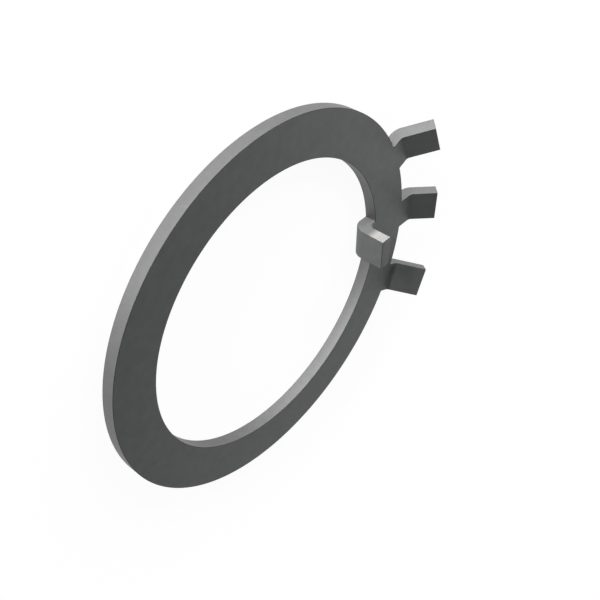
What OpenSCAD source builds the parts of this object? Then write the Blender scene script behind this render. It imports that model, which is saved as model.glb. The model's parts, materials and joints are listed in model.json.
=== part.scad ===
// Lock washer for a slotted round nut, pressed from one sheet of steel.
// The ring lies on its back face, with its axis along Z and its front face up.
// The inner tab drops into the shaft's keyway, and the outer tabs fold into the slots of the nut.
// The middle outer tab and the inner tab lie along +X; left and right are seen from the front, tabs upward.

/* [Ring] */
// Diameter of the bore that slides over the shaft's thread
bore_d = 35; // [25:0.5:40]
// Outside diameter of the flat ring
ring_d = 45.5; // [41:0.5:60]
// Thickness of the sheet
sheet_t = 1.5; // [0.8:0.1:2]

/* [Outer tabs] */
// Width of each outer tab, to suit the slots of the nut
outer_tab_w = 3.9; // [2:0.1:6]
// Angle from one outer tab to the next
outer_tab_pitch = 24; // [20:1:40]
// Angle that the outer tabs are bent up from the ring
outer_bend_angle = 45; // [20:5:80]
// Radius inside the bend of the outer tabs
outer_bend_inside_r = 0.7; // [0.2:0.1:1.5]
// Radius outside the bend of the outer tabs
outer_bend_outside_r = 1.8; // [0.8:0.1:2.5]
// Flat run from the rim to the bend of the left tab
left_run = 1.45; // [1.2:0.05:4]
// Flat run from the rim to the bend of the middle tab
middle_run = 1.95; // [1.2:0.05:4]
// Flat run from the rim to the bend of the right tab
right_run = 1.35; // [1.2:0.05:4]
// Length of the left tab past its bend, along its front
left_leg = 3.95; // [2.5:0.05:8]
// Length of the middle tab past its bend, along its front
middle_leg = 3.3; // [2.5:0.05:8]
// Length of the right tab past its bend, along its front
right_leg = 4.25; // [2.5:0.05:8]

/* [Inner tab] */
// Width of the inner tab, to suit the shaft's keyway
inner_tab_w = 3.95; // [2:0.05:8]
// Angle that the inner tab is bent up from the ring
inner_bend_angle = 90; // [45:5:90]
// Radius inside the bend of the inner tab
inner_bend_inside_r = 0.8; // [0.2:0.1:1.2]
// Radius outside the bend of the inner tab
inner_bend_outside_r = 1.65; // [0.8:0.05:2.5]
// Flat run from the bore to the bend of the inner tab
inner_run = 1.35; // [1.2:0.05:4]
// Height of the inner tab past its bend, along its front
inner_leg = 3.15; // [2.5:0.05:8]

/* [Hidden] */
$fn = 96;

steel_grey = [0.35, 0.36, 0.355];
band_w = (ring_d - bore_d) / 2;
band_middle_r = (ring_d + bore_d) / 4;
// The outer tabs from left to right: how many pitches from the middle, run and leg
outer_tabs = [
    [1, left_run, left_leg],
    [0, middle_run, middle_leg],
    [-1, right_run, right_leg]
];

// The plane region on the inner side of a fold. The flat comes in along -X to a corner at the origin,
// the leg rises from it at the angle, and an arc of radius r rounds the corner. Reach is how far both run.
module inside_of_fold(angle, r, reach) {
    setback = r * tan(angle / 2);
    along_leg = [cos(angle), sin(angle)];
    polygon([
        [-reach, 0],
        [-setback, 0],
        [-setback, r],
        setback * along_leg,
        reach * along_leg,
        [-reach, reach * along_leg.y]
    ]);
    translate([-setback, r]) circle(r);
}

// Section of a bent tab, from its root in the middle of the ring's band at x = 0 to its square-cut end
module tab_section(run, leg, angle, inside_r, outside_r) {
    flat = band_w / 2 + run;
    reach = 2 * (flat + leg + outside_r);
    back_corner = flat + sheet_t * tan(angle / 2);
    difference() {
        intersection() {
            translate([back_corner, 0]) inside_of_fold(angle, outside_r, reach);
            translate([flat, sheet_t]) rotate(angle) translate([leg - reach, -reach / 2]) square(reach);
            square(reach);
        }
        translate([flat, sheet_t]) inside_of_fold(angle, inside_r, 2 * reach);
    }
}

// A tab that runs out along +X from the middle of the band and bends up
module bent_tab(width, run, leg, angle, inside_r, outside_r) {
    rotate([90, 0, 0])
        linear_extrude(width, center = true)
            tab_section(run, leg, angle, inside_r, outside_r);
}

module flat_ring() {
    difference() {
        cylinder(h = sheet_t, d = ring_d);
        translate([0, 0, -sheet_t]) cylinder(h = 3 * sheet_t, d = bore_d);
    }
}

module outer_tab_group() {
    for (tab = outer_tabs)
        rotate(tab[0] * outer_tab_pitch)
            translate([band_middle_r, 0, 0])
                bent_tab(outer_tab_w, tab[1], tab[2], outer_bend_angle, outer_bend_inside_r, outer_bend_outside_r);
}

module inner_tab() {
    translate([band_middle_r, 0, 0])
        rotate(180)
            bent_tab(inner_tab_w, inner_run, inner_leg, inner_bend_angle, inner_bend_inside_r, inner_bend_outside_r);
}

module lock_washer() {
    color(steel_grey)
        union() {
            flat_ring();
            outer_tab_group();
            inner_tab();
        }
}

lock_washer();
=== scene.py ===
"""Looks of the lock washer: a pressed steel ring with bent tabs, lying on a plain pale studio floor."""
import json
import logging
import math
from collections.abc import Callable
from dataclasses import dataclass
from enum import Enum

import bmesh
import bpy
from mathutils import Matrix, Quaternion, Vector


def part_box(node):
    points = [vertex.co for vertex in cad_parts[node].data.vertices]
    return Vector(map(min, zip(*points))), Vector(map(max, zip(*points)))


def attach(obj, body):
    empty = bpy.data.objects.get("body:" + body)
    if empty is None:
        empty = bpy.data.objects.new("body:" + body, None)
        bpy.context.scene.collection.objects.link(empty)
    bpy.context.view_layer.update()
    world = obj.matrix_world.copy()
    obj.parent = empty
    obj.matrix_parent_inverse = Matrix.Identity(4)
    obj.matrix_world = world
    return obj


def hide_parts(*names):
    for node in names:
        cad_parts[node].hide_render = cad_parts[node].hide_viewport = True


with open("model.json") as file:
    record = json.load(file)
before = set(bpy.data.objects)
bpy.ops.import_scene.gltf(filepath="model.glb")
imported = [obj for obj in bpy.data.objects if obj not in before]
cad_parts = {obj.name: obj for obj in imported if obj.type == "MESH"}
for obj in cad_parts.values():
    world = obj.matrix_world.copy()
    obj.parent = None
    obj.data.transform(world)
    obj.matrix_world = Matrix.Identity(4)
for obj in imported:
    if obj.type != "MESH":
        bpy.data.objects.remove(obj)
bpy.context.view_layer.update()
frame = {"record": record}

MM = 0.001
NODE = "lock_washer"
BODY = "root"
# Two points closer than this are one point
TOUCH = 0.001 * MM
# Two unit directions with a product above this count as the same direction
ALIGNED = 0.9
log = logging.getLogger(NODE)

# A colour, or one number each along X, Y and Z
Triple = tuple[float, float, float]
MeshElement = bmesh.types.BMVert | bmesh.types.BMEdge | bmesh.types.BMFace


class Pick(Enum):
    """Kind of mesh element to select; the value is its list in a mesh."""

    VERT = "verts"
    EDGE = "edges"
    FACE = "faces"


class TabRoot(Enum):
    """Edge of the ring that a tab grows from; the value is the tab's way along its heading."""

    RIM = 1
    BORE = -1


class Surface(Enum):
    """Kinds of surface on the washer; the value is the material slot."""

    ROLLED_FACE = 0
    SHEARED_EDGE = 1
    BROKEN_CORNER = 2
    KEY_FLANK = 3


def pick(piece: bpy.types.Object, kind: Pick, wanted: Callable[[MeshElement], bool]) -> None:
    """Selects the wanted elements of a mesh in edit mode, and nothing else.

    Args:
        piece: the object that is in edit mode.
        kind: vertices, edges or faces.
        wanted: says of one element whether it is selected.
    """
    bpy.ops.mesh.select_mode(type=kind.name)
    bpy.ops.mesh.select_all(action="DESELECT")
    mesh = bmesh.from_edit_mesh(piece.data)
    chosen = [element for element in getattr(mesh, kind.value) if wanted(element)]
    for element in chosen:
        element.select_set(True)
    mesh.select_flush_mode()
    bmesh.update_edit_mesh(piece.data)


def toward(azimuth: float, elevation: float) -> Vector:
    """Finds the direction of a lamp or camera from the washer.

    Args:
        azimuth: angle from +X round the ring's axis, in degrees.
        elevation: angle above the floor, in degrees.

    Returns:
        The direction, of length 1.
    """
    turn = math.radians(azimuth)
    rise = math.radians(elevation)
    return Vector((math.cos(turn) * math.cos(rise), math.sin(turn) * math.cos(rise), math.sin(rise)))


@dataclass(frozen=True)
class BentTab:
    """A parallel-sided tab that leaves the ring flat and is then bent up.

    Sizes are in metres and angles in radians; the heading is the tab's direction from the ring's axis.
    """

    name: str
    root: TabRoot
    heading: float
    width: float
    run: float
    leg: float
    bend: float
    inside_r: float
    outside_r: float
    flank: Surface = Surface.SHEARED_EDGE

    def along_leg(self, length: float) -> Vector:
        """Step of that length along the bent leg, with the heading along +X."""
        return Vector((self.root.value * math.cos(self.bend), 0.0, math.sin(self.bend))) * length


@dataclass
class LockWasher:
    """The washer's mesh, modelled over its solid with its edges broken as a press leaves them.

    Sizes are in metres and angles in radians. A method that takes a tab works on the mesh turned so that
    the tab's heading is +X.
    """

    bore_r: float
    ring_r: float
    sheet_t: float
    tabs: list[BentTab]
    name: str = "washer_steel"
    ring_segments: int = 240
    bend_segments: int = 8
    edge_break: float = 0.05 * MM
    edge_segments: int = 2
    sharp_angle: float = math.radians(40)
    flat_weight: int = 100

    def build(self) -> bpy.types.Object:
        """Models the whole washer.

        Returns:
            The finished object, at the origin, with its place in its mesh.
        """
        washer = self.flat_ring()
        for tab in self.tabs:
            self.turn(washer, -tab.heading)
            self.draw_out(washer, tab)
            self.round_bend(washer, tab)
            self.mark_cuts(washer, tab)
            self.turn(washer, tab.heading)
            log.info("tab %s", tab.name)
        self.close_seams()
        self.break_edges(washer)
        return washer

    def flat_ring(self) -> bpy.types.Object:
        """Bridges two circles and gives the band its thickness, with its rim and bore marked as sheared.

        Returns:
            The flat ring, in object mode.
        """
        bpy.ops.object.select_all(action="DESELECT")
        bpy.ops.mesh.primitive_circle_add(vertices=self.ring_segments, radius=self.ring_r)
        ring = bpy.context.object
        ring.name = self.name
        for _ in Surface:
            ring.data.materials.append(None)
        bpy.ops.object.mode_set(mode="EDIT")
        bpy.ops.mesh.primitive_circle_add(vertices=self.ring_segments, radius=self.bore_r)
        bpy.ops.mesh.select_all(action="SELECT")
        bpy.ops.mesh.bridge_edge_loops()
        bpy.ops.mesh.select_all(action="SELECT")
        bpy.ops.mesh.extrude_region_move(TRANSFORM_OT_translate={"value": (0.0, 0.0, self.sheet_t)})
        bpy.ops.mesh.select_all(action="SELECT")
        bpy.ops.mesh.normals_make_consistent(inside=False)
        pick(ring, Pick.FACE, lambda face: abs(face.normal.z) < 1.0 - ALIGNED)
        self.assign(ring, Surface.SHEARED_EDGE)
        bpy.ops.object.mode_set(mode="OBJECT")
        return ring

    def assign(self, washer: bpy.types.Object, surface: Surface) -> None:
        """Gives the selected faces the slot of that surface."""
        washer.active_material_index = surface.value
        bpy.ops.object.material_slot_assign()

    def turn(self, washer: bpy.types.Object, angle: float) -> None:
        """Turns the mesh about the ring's axis."""
        washer.rotation_euler.z = angle
        bpy.ops.object.transform_apply(location=False, rotation=True, scale=False)

    def root_radius(self, tab: BentTab) -> float:
        """Radius of the edge that the tab grows from."""
        return self.ring_r if tab.root is TabRoot.RIM else self.bore_r

    def knee(self, tab: BentTab) -> float:
        """Distance from the axis to the sharp corner on the front of the bend."""
        return self.root_radius(tab) + tab.root.value * tab.run

    def setback(self, tab: BentTab) -> float:
        """How far the sharp corner on the back lies past the one on the front."""
        return self.sheet_t * math.tan(tab.bend / 2)

    def on_mitre(self, tab: BentTab, point: Vector) -> bool:
        """Tells whether a point is on the plane through both sharp corners of the bend.

        Args:
            tab: the tab with the bend.
            point: a point of the mesh.

        Returns:
            True for a point on that plane, within the tab's width and the sheet.
        """
        depth = (self.sheet_t - point.z) / self.sheet_t
        plane_x = self.knee(tab) + tab.root.value * self.setback(tab) * depth
        in_sheet = -TOUCH < point.z < self.sheet_t + TOUCH
        return abs(point.x - plane_x) < TOUCH and in_sheet and self.in_width(tab, point)

    def in_width(self, tab: BentTab, point: Vector) -> bool:
        """True for a point between the tab's two sides, or on one."""
        return abs(point.y) < tab.width / 2 + TOUCH

    def draw_out(self, washer: bpy.types.Object, tab: BentTab) -> None:
        """Draws the tab out of the ring's edge, flat to the bend and then along its leg.

        Args:
            washer: the ring, in object mode.
            tab: the tab to make.
        """
        way = tab.root.value
        knee = self.knee(tab)
        bpy.ops.object.mode_set(mode="EDIT")
        self.set_corners(washer, tab)
        pick(washer, Pick.FACE, lambda face: all(self.on_root(tab, vert.co) for vert in face.verts))
        bpy.ops.mesh.extrude_region_move(TRANSFORM_OT_translate={"value": (way * tab.run, 0.0, 0.0)})
        bpy.ops.transform.resize(value=(0.0, 1.0, 1.0), center_override=(knee, 0.0, 0.0))
        back_edge = Vector((knee, 0.0, 0.0))
        pick(washer, Pick.VERT, lambda vert: (vert.co.xz - back_edge.xz).length < TOUCH
             and self.in_width(tab, vert.co))
        bpy.ops.transform.translate(value=(way * self.setback(tab), 0.0, 0.0))
        pick(washer, Pick.FACE, lambda face: all(self.on_mitre(tab, vert.co) for vert in face.verts))
        bpy.ops.mesh.extrude_region_move(TRANSFORM_OT_translate={"value": tab.along_leg(tab.leg)})
        back_end = Vector((knee + way * self.setback(tab), 0.0, 0.0)) + tab.along_leg(tab.leg)
        pick(washer, Pick.VERT, lambda vert: (vert.co.xz - back_end.xz).length < TOUCH)
        bpy.ops.transform.translate(value=tab.along_leg(self.setback(tab)))
        bpy.ops.object.mode_set(mode="OBJECT")

    def on_root(self, tab: BentTab, point: Vector) -> bool:
        """True for a point of the edge that the tab grows from, within the tab's width."""
        at_edge = abs(point.xy.length - self.root_radius(tab)) < TOUCH
        return at_edge and point.x > 0.0 and self.in_width(tab, point)

    def set_corners(self, washer: bpy.types.Object, tab: BentTab) -> None:
        """Slides the nearest points of the ring's edge to the tab's two corners.

        Args:
            washer: the ring, in edit mode.
            tab: the tab that is about to be drawn out.
        """
        radius = self.root_radius(tab)
        step = math.tau / self.ring_segments
        corner = math.asin(tab.width / 2 / radius)
        nearest = round(corner / step) * step
        for side in (-1, 1):
            here = Vector((math.cos(nearest), side * math.sin(nearest), 0.0)) * radius
            there = Vector((math.cos(corner), side * math.sin(corner), 0.0)) * radius
            pick(washer, Pick.VERT, lambda vert: (vert.co.xy - here.xy).length < TOUCH)
            bpy.ops.transform.translate(value=there - here)

    def round_bend(self, washer: bpy.types.Object, tab: BentTab) -> None:
        """Rounds the sharp corners of the bend, each to its own radius.

        Args:
            washer: the ring, in object mode.
            tab: the tab whose bend is rounded.
        """
        bpy.ops.object.mode_set(mode="EDIT")
        pick(washer, Pick.EDGE, lambda edge: all(self.on_mitre(tab, vert.co) for vert in edge.verts)
             and abs(edge.verts[0].co.z - edge.verts[1].co.z) > self.sheet_t / 2)
        bpy.ops.mesh.dissolve_edges(use_verts=False)
        for height, radius in ((self.sheet_t, tab.inside_r), (0.0, tab.outside_r)):
            pick(washer, Pick.EDGE, lambda edge: all(
                self.on_mitre(tab, vert.co) and abs(vert.co.z - height) < TOUCH for vert in edge.verts))
            bpy.ops.mesh.bevel(offset_type="OFFSET", offset=radius * math.tan(tab.bend / 2),
                               segments=self.bend_segments, profile=0.5, affect="EDGES")
        bpy.ops.object.mode_set(mode="OBJECT")

    def mark_cuts(self, washer: bpy.types.Object, tab: BentTab) -> None:
        """Marks the tab's two sides and its end as cut faces.

        Args:
            washer: the ring, in object mode.
            tab: the tab to mark.
        """
        bpy.ops.object.mode_set(mode="EDIT")
        pick(washer, Pick.FACE, lambda face: self.is_flank(tab, face))
        self.assign(washer, tab.flank)
        pick(washer, Pick.FACE, lambda face: self.is_end(tab, face))
        self.assign(washer, Surface.SHEARED_EDGE)
        bpy.ops.object.mode_set(mode="OBJECT")

    def past_root(self, tab: BentTab, point: Vector) -> bool:
        """True for a point of the tab itself, past the edge that it grows from."""
        past_edge = tab.root.value * (point.x - self.root_radius(tab)) > 0.0
        return past_edge and point.x > 0.0 and self.in_width(tab, point)

    def is_flank(self, tab: BentTab, face: bmesh.types.BMFace) -> bool:
        """Tells whether a face is on one of the tab's two cut sides.

        Args:
            tab: the tab.
            face: a face of the washer.

        Returns:
            True for a face of either side.
        """
        middle = face.calc_center_median()
        on_side = abs(abs(middle.y) - tab.width / 2) < TOUCH
        return on_side and abs(face.normal.y) > ALIGNED and self.past_root(tab, middle)

    def is_end(self, tab: BentTab, face: bmesh.types.BMFace) -> bool:
        """Tells whether a face is on the tab's square-cut end.

        Args:
            tab: the tab.
            face: a face of the washer.

        Returns:
            True for a face of the end.
        """
        middle = face.calc_center_median()
        along = tab.along_leg(1.0)
        end = Vector((self.knee(tab), 0.0, self.sheet_t)) + along * tab.leg
        on_end = abs((middle - end).dot(along)) < TOUCH
        return on_end and face.normal.dot(along) > ALIGNED and self.past_root(tab, middle)

    def close_seams(self) -> None:
        """Merges points of the active mesh that lie on each other, and turns its faces outwards."""
        bpy.ops.object.mode_set(mode="EDIT")
        bpy.ops.mesh.select_all(action="SELECT")
        bpy.ops.mesh.remove_doubles(threshold=TOUCH)
        bpy.ops.mesh.normals_make_consistent(inside=False)
        bpy.ops.object.mode_set(mode="OBJECT")

    def break_edges(self, washer: bpy.types.Object) -> None:
        """Breaks the sharp edges, and shades the broken edges smooth between flat faces.

        Args:
            washer: the whole washer, in object mode.
        """
        bevel = washer.modifiers.new("edge_break", "BEVEL")
        bevel.width = self.edge_break
        bevel.segments = self.edge_segments
        bevel.limit_method = "ANGLE"
        bevel.angle_limit = self.sharp_angle
        bevel.material = Surface.BROKEN_CORNER.value
        normals = washer.modifiers.new("flat_faces", "WEIGHTED_NORMAL")
        normals.weight = self.flat_weight
        bpy.ops.object.shade_smooth()
        for modifier in (bevel.name, normals.name):
            bpy.ops.object.modifier_apply(modifier=modifier)

    def open_edges(self, washer: bpy.types.Object) -> int:
        """Counts the edges that don't join two faces.

        Args:
            washer: the finished washer.

        Returns:
            The number of such edges, which is 0 for a closed mesh.
        """
        mesh = bmesh.new()
        mesh.from_mesh(washer.data)
        count = sum(not edge.is_manifold for edge in mesh.edges)
        mesh.free()
        return count


@dataclass(frozen=True)
class PaintedSheen:
    """A painted sheen on a finish: its lighter tones, and the heights between which they fade in.

    Heights are in metres.
    """

    dark: Triple
    light: Triple
    start: float
    full: float


@dataclass(frozen=True)
class SteelFinish:
    """A finish of the pressed steel: a dark satin metal with fine grain and faint mottling.

    Densities are in features for each metre, and depth is in metres. The tones are spread over the part of
    the grain that mostly occurs, from tone_low to tone_high.
    """

    name: str
    dark: Triple
    light: Triple
    grain_density: Triple
    mottle_density: float
    metallic: float = 1.0
    smooth: float = 0.55
    rough: float = 0.65
    depth: float = 0.001 * MM
    relief_strength: float = 0.5
    grain_detail: float = 4.0
    mottle_detail: float = 3.0
    tone_low: float = 0.1
    tone_high: float = 0.45
    painted_sheen: PaintedSheen | None = None

    def material(self) -> bpy.types.Material:
        """Builds the node material.

        Returns:
            The material, with colour, roughness and relief from the same grain.
        """
        material = bpy.data.materials.new(self.name)
        material.use_nodes = True
        tree = material.node_tree
        shader = tree.nodes["Principled BSDF"]
        shader.inputs["Metallic"].default_value = self.metallic
        place = tree.nodes.new("ShaderNodeTexCoord").outputs["Object"]
        grain = self.grain(tree, place)
        tree.links.new(self.colour(tree, place, grain), shader.inputs["Base Color"])
        tree.links.new(self.gloss(tree, grain), shader.inputs["Roughness"])
        tree.links.new(self.relief(tree, grain), shader.inputs["Normal"])
        return material

    def grain(self, tree: bpy.types.NodeTree, place: bpy.types.NodeSocket) -> bpy.types.NodeSocket:
        """Adds the fine grain, drawn out along the way that the steel was rolled or cut.

        Args:
            tree: the node tree to add to.
            place: the socket with the place on the washer.

        Returns:
            The socket that carries the grain.
        """
        stretch = tree.nodes.new("ShaderNodeMapping")
        stretch.inputs["Scale"].default_value = self.grain_density
        tree.links.new(place, stretch.inputs["Vector"])
        noise = tree.nodes.new("ShaderNodeTexNoise")
        noise.inputs["Scale"].default_value = 1.0
        noise.inputs["Detail"].default_value = self.grain_detail
        tree.links.new(stretch.outputs["Vector"], noise.inputs["Vector"])
        return noise.outputs["Fac"]

    def colour(self, tree: bpy.types.NodeTree, place: bpy.types.NodeSocket,
               grain: bpy.types.NodeSocket) -> bpy.types.NodeSocket:
        """Adds the colour: grain and mottling between two tones, and a painted sheen that lightens it with
        height.

        Args:
            tree: the node tree to add to.
            place: the socket with the place on the washer.
            grain: the socket that carries the grain.

        Returns:
            The socket that carries the colour.
        """
        mottle = tree.nodes.new("ShaderNodeTexNoise")
        mottle.inputs["Scale"].default_value = self.mottle_density
        mottle.inputs["Detail"].default_value = self.mottle_detail
        tree.links.new(place, mottle.inputs["Vector"])
        blend = tree.nodes.new("ShaderNodeMath")
        blend.operation = "MULTIPLY"
        tree.links.new(grain, blend.inputs[0])
        tree.links.new(mottle.outputs["Fac"], blend.inputs[1])
        plain = self.tones(tree, blend.outputs["Value"], self.dark, self.light)
        if self.painted_sheen is None:
            return plain
        # Painted sheen: the colour fades to lighter tones with height
        parts = tree.nodes.new("ShaderNodeSeparateXYZ")
        tree.links.new(place, parts.inputs["Vector"])
        fade = tree.nodes.new("ShaderNodeMapRange")
        fade.interpolation_type = "SMOOTHSTEP"
        fade.inputs["From Min"].default_value = self.painted_sheen.start
        fade.inputs["From Max"].default_value = self.painted_sheen.full
        tree.links.new(parts.outputs["Z"], fade.inputs["Value"])
        mix = tree.nodes.new("ShaderNodeMixRGB")
        tree.links.new(fade.outputs["Result"], mix.inputs["Fac"])
        tree.links.new(plain, mix.inputs["Color1"])
        bright = self.tones(tree, blend.outputs["Value"], self.painted_sheen.dark, self.painted_sheen.light)
        tree.links.new(bright, mix.inputs["Color2"])
        return mix.outputs["Color"]

    def tones(self, tree: bpy.types.NodeTree, value: bpy.types.NodeSocket, dark: Triple,
              light: Triple) -> bpy.types.NodeSocket:
        """Adds a ramp from a dark to a light tone.

        Args:
            tree: the node tree to add to.
            value: the socket that drives the ramp.
            dark: the tone at its low end.
            light: the tone at its high end.

        Returns:
            The socket that carries the tone.
        """
        ramp = tree.nodes.new("ShaderNodeValToRGB")
        low, high = ramp.color_ramp.elements
        low.position = self.tone_low
        low.color = (*dark, 1.0)
        high.position = self.tone_high
        high.color = (*light, 1.0)
        tree.links.new(value, ramp.inputs["Fac"])
        return ramp.outputs["Color"]

    def gloss(self, tree: bpy.types.NodeTree, grain: bpy.types.NodeSocket) -> bpy.types.NodeSocket:
        """Adds the roughness, which follows the grain.

        Args:
            tree: the node tree to add to.
            grain: the socket that carries the grain.

        Returns:
            The socket that carries the roughness.
        """
        span = tree.nodes.new("ShaderNodeMapRange")
        span.inputs["To Min"].default_value = self.smooth
        span.inputs["To Max"].default_value = self.rough
        tree.links.new(grain, span.inputs["Value"])
        return span.outputs["Result"]

    def relief(self, tree: bpy.types.NodeTree, grain: bpy.types.NodeSocket) -> bpy.types.NodeSocket:
        """Adds the relief of the grain.

        Args:
            tree: the node tree to add to.
            grain: the socket that carries the grain.

        Returns:
            The socket that carries the normal.
        """
        bump = tree.nodes.new("ShaderNodeBump")
        bump.inputs["Strength"].default_value = self.relief_strength
        bump.inputs["Distance"].default_value = self.depth
        tree.links.new(grain, bump.inputs["Height"])
        return bump.outputs["Normal"]


@dataclass(frozen=True)
class SoftBox:
    """A soft white lamp that faces the washer.

    Angles are in degrees, lengths in metres and power in watts. A lamp that casts no shadow also lights what
    the ring would hide from it.
    """

    name: str
    azimuth: float
    elevation: float
    width: float
    height: float
    power: float
    distance: float = 0.4
    casts_shadow: bool = True

    def build(self, target: Vector) -> None:
        """Adds the lamp.

        Args:
            target: the point that the lamp faces.
        """
        away = toward(self.azimuth, self.elevation)
        bpy.ops.object.light_add(type="AREA", location=target + away * self.distance)
        lamp = bpy.context.object
        lamp.name = self.name
        lamp.rotation_mode = "QUATERNION"
        lamp.rotation_quaternion = away.to_track_quat("Z", "Y")
        lamp.data.shape = "RECTANGLE"
        lamp.data.size = self.width
        lamp.data.size_y = self.height
        lamp.data.energy = self.power
        lamp.data.use_shadow = self.casts_shadow
        lamp.visible_camera = False


@dataclass
class Studio:
    """The pale floor, the surround and the lamps.

    Lengths are in metres. The floor glows near_glow within near of the washer, where the lamps add to it
    and its shadow shows, and far_glow from far on. The surround is white up to white_up_to degrees above
    the floor, and falls to the level overhead from dim_from on.
    """

    lamps: list[SoftBox]
    floor_size: float = 20.0
    floor_gap: float = 0.01 * MM
    floor_white: float = 0.1
    near: float = 26.0 * MM
    far: float = 90.0 * MM
    near_glow: float = 0.93
    far_glow: float = 1.0
    white_up_to: float = 4.0
    dim_from: float = 18.0
    overhead: float = 0.09

    def build(self, target: Vector) -> None:
        """Builds the floor, the surround and every lamp.

        Args:
            target: the point that the lamps face.
        """
        floor = self.build_floor()
        log.info("stage %s", floor.name)
        self.build_surround()
        for lamp in self.lamps:
            lamp.build(target)
            log.info("lamp %s", lamp.name)

    def build_floor(self) -> bpy.types.Object:
        """Adds the floor just under the washer: a matt white that keeps the shadow, with a glow.

        Returns:
            The floor's object.
        """
        bpy.ops.object.select_all(action="DESELECT")
        bpy.ops.mesh.primitive_plane_add(size=self.floor_size, location=(0.0, 0.0, -self.floor_gap))
        floor = bpy.context.object
        floor.name = "studio_floor"
        material = bpy.data.materials.new("pale_floor")
        material.use_nodes = True
        tree = material.node_tree
        tree.nodes.clear()
        matt = tree.nodes.new("ShaderNodeBsdfDiffuse")
        matt.inputs["Color"].default_value = (self.floor_white, self.floor_white, self.floor_white, 1.0)
        level = tree.nodes.new("ShaderNodeMath")
        level.operation = "MULTIPLY"
        tree.links.new(self.seen_directly(tree), level.inputs[0])
        tree.links.new(self.glow(tree), level.inputs[1])
        light = tree.nodes.new("ShaderNodeEmission")
        tree.links.new(level.outputs["Value"], light.inputs["Strength"])
        both = tree.nodes.new("ShaderNodeAddShader")
        tree.links.new(matt.outputs["BSDF"], both.inputs[0])
        tree.links.new(light.outputs["Emission"], both.inputs[1])
        result = tree.nodes.new("ShaderNodeOutputMaterial")
        tree.links.new(both.outputs["Shader"], result.inputs["Surface"])
        floor.data.materials.append(material)
        return floor

    def seen_directly(self, tree: bpy.types.NodeTree) -> bpy.types.NodeSocket:
        """Adds nodes that give 1 for rays from the camera and for mirrored or passed-through ones.

        Args:
            tree: the node tree to add to.

        Returns:
            The socket that carries the value.
        """
        path = tree.nodes.new("ShaderNodeLightPath")
        first = tree.nodes.new("ShaderNodeMath")
        first.operation = "MAXIMUM"
        tree.links.new(path.outputs["Is Camera Ray"], first.inputs[0])
        tree.links.new(path.outputs["Is Glossy Ray"], first.inputs[1])
        second = tree.nodes.new("ShaderNodeMath")
        second.operation = "MAXIMUM"
        tree.links.new(first.outputs["Value"], second.inputs[0])
        tree.links.new(path.outputs["Is Transmission Ray"], second.inputs[1])
        return second.outputs["Value"]

    def glow(self, tree: bpy.types.NodeTree) -> bpy.types.NodeSocket:
        """Adds the floor's own level, by distance from the washer.

        Args:
            tree: the node tree to add to.

        Returns:
            The socket that carries the level.
        """
        place = tree.nodes.new("ShaderNodeTexCoord")
        distance = tree.nodes.new("ShaderNodeVectorMath")
        distance.operation = "LENGTH"
        tree.links.new(place.outputs["Object"], distance.inputs[0])
        level = tree.nodes.new("ShaderNodeMapRange")
        level.interpolation_type = "SMOOTHSTEP"
        level.inputs["From Min"].default_value = self.near
        level.inputs["From Max"].default_value = self.far
        level.inputs["To Min"].default_value = self.near_glow
        level.inputs["To Max"].default_value = self.far_glow
        tree.links.new(distance.outputs["Value"], level.inputs["Value"])
        return level.outputs["Result"]

    def build_surround(self) -> None:
        """Sets the surround: white low down, as a bright wall behind the floor, and dim overhead."""
        world = bpy.data.worlds.new("studio_surround")
        world.use_nodes = True
        tree = world.node_tree
        background = tree.nodes["Background"]
        background.inputs["Color"].default_value = (1.0, 1.0, 1.0, 1.0)
        direction = tree.nodes.new("ShaderNodeTexCoord")
        parts = tree.nodes.new("ShaderNodeSeparateXYZ")
        tree.links.new(direction.outputs["Generated"], parts.inputs["Vector"])
        level = tree.nodes.new("ShaderNodeMapRange")
        level.interpolation_type = "SMOOTHSTEP"
        level.inputs["From Min"].default_value = math.sin(math.radians(self.white_up_to))
        level.inputs["From Max"].default_value = math.sin(math.radians(self.dim_from))
        level.inputs["To Min"].default_value = 1.0
        level.inputs["To Max"].default_value = self.overhead
        tree.links.new(parts.outputs["Z"], level.inputs["Value"])
        tree.links.new(level.outputs["Result"], background.inputs["Strength"])
        bpy.context.scene.world = world


@dataclass(frozen=True)
class PhotoCamera:
    """The camera, whose axis meets the floor at the aim.

    Angles are in degrees, lengths in metres, and the lens and the sensor's width in millimetres.
    """

    aim: Triple
    azimuth: float
    elevation: float
    distance: float
    roll: float
    lens: float
    sensor: float = 36.0
    clip_start: float = 1.0 * MM

    def build(self) -> bpy.types.Object:
        """Adds the camera and makes it the scene's own.

        Returns:
            The camera's object.
        """
        away = toward(self.azimuth, self.elevation)
        bpy.ops.object.camera_add(location=Vector(self.aim) + away * self.distance)
        camera = bpy.context.object
        camera.name = "photo_camera"
        camera.rotation_mode = "QUATERNION"
        level = (-away).to_track_quat("-Z", "Y")
        camera.rotation_quaternion = level @ Quaternion((0.0, 0.0, 1.0), math.radians(self.roll))
        camera.data.lens = self.lens
        camera.data.sensor_width = self.sensor
        camera.data.clip_start = self.clip_start
        bpy.context.scene.camera = camera
        return camera


def outer_tab(name: str, heading: float, run: float, leg: float) -> BentTab:
    """Gives one of the outer tabs, which differ only in their place and lengths.

    Args:
        name: what the tab is called.
        heading: its direction from the axis, in degrees.
        run: its flat run from the rim to the bend, in millimetres.
        leg: its length past the bend, in millimetres.

    Returns:
        The tab.
    """
    return BentTab(name=name, root=TabRoot.RIM, heading=math.radians(heading), width=3.9 * MM, run=run * MM,
                   leg=leg * MM, bend=math.radians(45), inside_r=0.7 * MM, outside_r=1.8 * MM)


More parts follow.
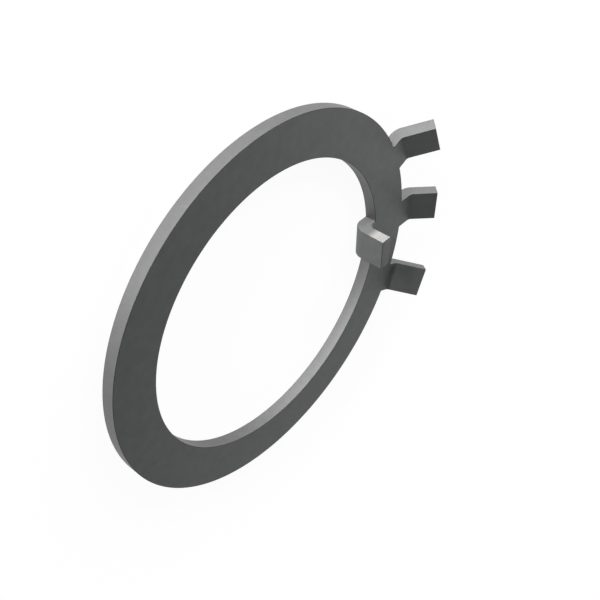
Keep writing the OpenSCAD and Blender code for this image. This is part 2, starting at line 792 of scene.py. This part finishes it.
def washer_tabs() -> list[BentTab]:
    """Lists the washer's tabs.

    Returns:
        The three outer tabs and the inner tab.
    """
    pitch = 24.0
    return [
        outer_tab("left_tab", heading=pitch, run=1.45, leg=3.95),
        outer_tab("middle_tab", heading=0.0, run=1.95, leg=3.3),
        outer_tab("right_tab", heading=-pitch, run=1.35, leg=4.25),
        BentTab(name="inner_tab", root=TabRoot.BORE, heading=0.0, width=3.95 * MM, run=1.35 * MM,
                leg=3.15 * MM, bend=math.radians(90), inside_r=0.8 * MM, outside_r=1.65 * MM,
                flank=Surface.KEY_FLANK),
    ]


def washer_finishes() -> dict[Surface, SteelFinish]:
    """Lists the finishes of the steel.

    Returns:
        The finish of each kind of surface.
    """
    cut_dark = (0.141, 0.142, 0.141)
    cut_light = (0.159, 0.16, 0.159)
    cut_grain = (9.0e3, 9.0e3, 1.5e3)
    cut_mottle = 1200.0
    # The photo shows a sheen on the inner tab's flank that begins in its bend and is full halfway up its leg
    # Painted sheen: a lighter tone that grows with height on both flanks of the inner tab
    painted_sheen = PaintedSheen(dark=(0.315, 0.312, 0.303), light=(0.372, 0.368, 0.357), start=2.1 * MM,
                      full=3.2 * MM)
    return {
        Surface.ROLLED_FACE: SteelFinish(
            "rolled_sheet", dark=(0.134, 0.14, 0.1375), light=(0.162, 0.169, 0.166),
            grain_density=(2.0e3, 1.2e4, 1.2e4), mottle_density=900.0),
        Surface.SHEARED_EDGE: SteelFinish(
            "sheared_edge", dark=cut_dark, light=cut_light, grain_density=cut_grain,
            mottle_density=cut_mottle),
        # Painted shade: this finish is dark so that the broken edges show as dark lines instead of
        # highlights
        Surface.BROKEN_CORNER: SteelFinish(
            "broken_corner", dark=(0.06, 0.062, 0.061), light=(0.075, 0.078, 0.076),
            grain_density=(8.0e3, 8.0e3, 8.0e3), mottle_density=1500.0),
        Surface.KEY_FLANK: SteelFinish(
            "key_flank", dark=(0.157, 0.158, 0.157), light=(0.177, 0.178, 0.177), grain_density=cut_grain,
            mottle_density=cut_mottle, smooth=0.78, rough=0.88, painted_sheen=painted_sheen),
    }


def studio_lamps() -> list[SoftBox]:
    """Lists the lamps.

    Returns:
        A box and two low strips for the cut edges, and two weak boxes behind for the flat front.
    """
    return [
        SoftBox("left_box", azimuth=56.0, elevation=18.0, width=0.28, height=0.14, power=1.1),
        # The photo shows the inner tab's flank lit to its root, which the ring's shadow would darken
        SoftBox("left_strip", azimuth=85.0, elevation=4.5, width=0.28, height=0.055, power=2.15,
                casts_shadow=False),
        SoftBox("right_strip", azimuth=139.0, elevation=4.5, width=0.28, height=0.055, power=2.83),
        SoftBox("back_box_right", azimuth=295.0, elevation=22.0, width=0.25, height=0.25, power=0.162),
        SoftBox("back_box_left", azimuth=340.0, elevation=22.0, width=0.25, height=0.25, power=0.36),
    ]


def main() -> None:
    """Builds the washer, the studio and the camera in order."""
    logging.basicConfig(level=logging.INFO)
    bore = next(mount for mount in frame["record"]["mounts"] if mount["name"] == "shaft_bore")
    low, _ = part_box(NODE)
    washer = LockWasher(bore_r=bore["dims"]["r_mm"] * MM, ring_r=-low.x,
                        sheet_t=bore["dims"]["length_mm"] * MM, tabs=washer_tabs())
    piece = washer.build()
    for surface, finish in washer_finishes().items():
        piece.data.materials[surface.value] = finish.material()
    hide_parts(NODE)
    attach(piece, BODY)
    log.info("piece %s: %d faces, %d open edges", piece.name, len(piece.data.polygons),
             washer.open_edges(piece))
    Studio(lamps=studio_lamps()).build(target=Vector((0.0, 0.0, 0.0)))
    camera = PhotoCamera(aim=(5.405 * MM, -3.355 * MM, 0.0), azimuth=129.03, elevation=28.68,
                         distance=98.14 * MM, roll=120.73, lens=50.58).build()
    log.info("camera %s", camera.name)
    bpy.context.scene.view_settings.view_transform = "Standard"


if __name__ == "__main__":
    main()
